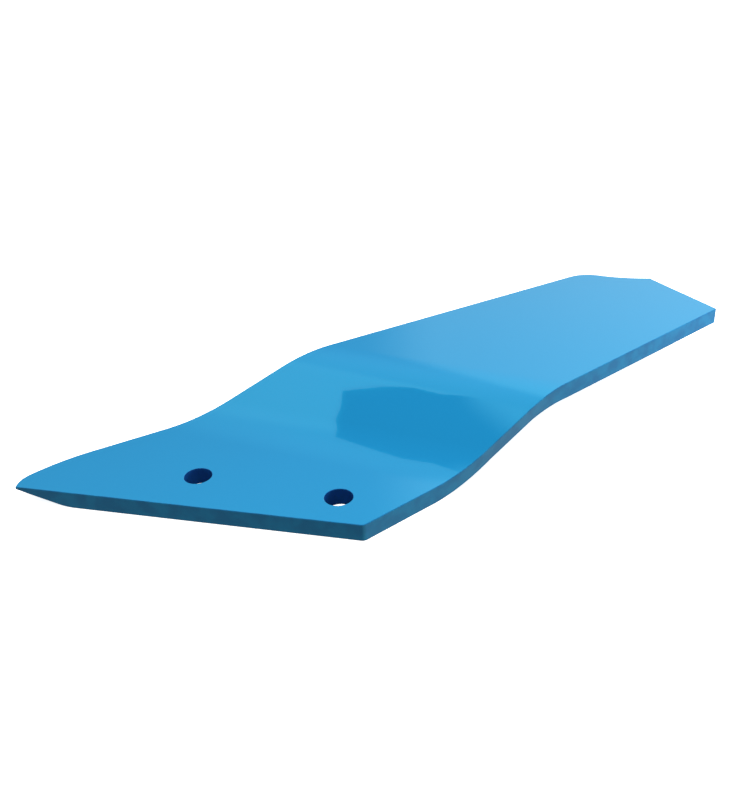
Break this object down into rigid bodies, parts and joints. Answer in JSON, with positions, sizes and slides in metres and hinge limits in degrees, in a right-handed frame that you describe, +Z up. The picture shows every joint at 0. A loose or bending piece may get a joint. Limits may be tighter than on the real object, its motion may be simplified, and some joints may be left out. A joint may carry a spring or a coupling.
{
  "type": "wing share",
  "caption": "Joggled steel wing share for a cultivator, with bolt holes in its foot, a raised wing and a cutting edge bevelled from below, painted blue.",
  "frame": {"origin": "midway between the two bolt holes, on the underside of the foot, which is the face that seats on the carrier", "axes": "+X along the foot's rear edge towards the raised wing, +Y towards the cutting edge, +Z up, square to the foot"},
  "size_m": [0.3629, 0.1427, 0.0305],
  "materials": {
    "blue_paint": "glossy sky-blue enamel on steel plate, with slight waviness"
  },
  "bodies": {
    "root": {"wing_share": "blue_paint"}
  },
  "joints": []
}
